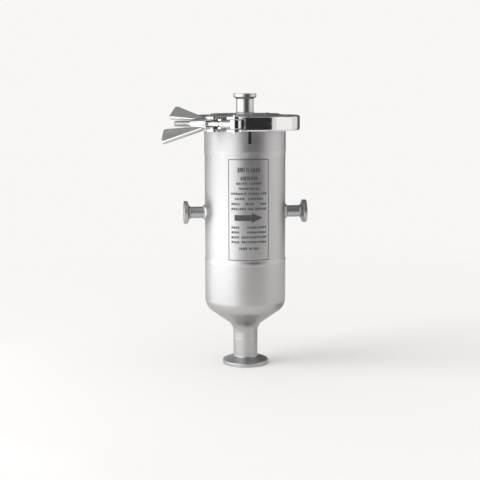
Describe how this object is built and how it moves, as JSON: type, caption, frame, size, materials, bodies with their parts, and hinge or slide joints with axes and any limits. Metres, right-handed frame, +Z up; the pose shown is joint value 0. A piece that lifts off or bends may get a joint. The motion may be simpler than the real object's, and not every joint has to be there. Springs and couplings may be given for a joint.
{
  "type": "steam separator",
  "caption": "Upright sanitary steam separator: a welded round vessel with side inlet and outlet, bottom drain, vented cap with baffle, and a hinged clamp closed by a swing bolt and wing nut.",
  "frame": {"origin": "centre of the drain ferrule's face, which the separator stands on", "axes": "+Z up along the vessel's axis, +X from inlet to outlet, index mark and front at -Y"},
  "size_m": [0.1606, 0.1344, 0.2983],
  "materials": {
    "satin_steel": "bead-blasted stainless steel, satin",
    "turned_steel": "turned and polished stainless steel",
    "polished_steel": "mirror-polished stainless steel",
    "gasket": "moulded white sealing plastic"
  },
  "bodies": {
    "vessel": {"body_ferrule": "satin_steel", "shell_tube": "satin_steel", "bottom_reducer": "satin_steel", "drain_ferrule": "satin_steel", "inlet_ferrule": "satin_steel", "outlet_ferrule": "satin_steel", "top_cap": "turned_steel", "vent_ferrule": "turned_steel", "baffle_plate": "satin_steel", "cap_gasket": "gasket", "clamp_half_right": "polished_steel", "clamp_hinge_pin": "polished_steel", "eye_bolt_pin": "polished_steel"},
    "clamp_left": {"clamp_half_left": "polished_steel"},
    "swing_bolt": {"eye_bolt": "polished_steel"},
    "nut_collar": {"nut_washer": "polished_steel"},
    "nut": {"wing_nut": "polished_steel"}
  },
  "joints": [
    {"name": "bolt_swing", "type": "hinge", "parent": "vessel", "child": "swing_bolt", "pos_m": [-0.01758, -0.06606, 0.267], "axis": [0, 0, 1], "range_deg": [0, 110]},
    {"name": "nut_travel", "type": "slide", "parent": "swing_bolt", "child": "nut_collar", "axis": [-0.866, 0.5, 0], "range_m": [0, 0.0093]},
    {"name": "nut_spin", "type": "hinge", "parent": "nut_collar", "child": "nut", "pos_m": [-0.04547, -0.04996, 0.267], "axis": [-0.866, 0.5, 0], "range_deg": [0, 2610]},
    {"name": "clamp_open", "type": "hinge", "parent": "vessel", "child": "clamp_left", "pos_m": [0.03225, 0.05586, 0.267], "axis": [0, 0, -1], "range_deg": [0, 3.75]}
  ],
  "couplings": [
    {"joint": "nut_travel", "follows": "nut_spin", "m_per_rad": 0.00020213},
    {"joint": "clamp_open", "follows": "nut_spin", "ratio": 0.00142}
  ]
}
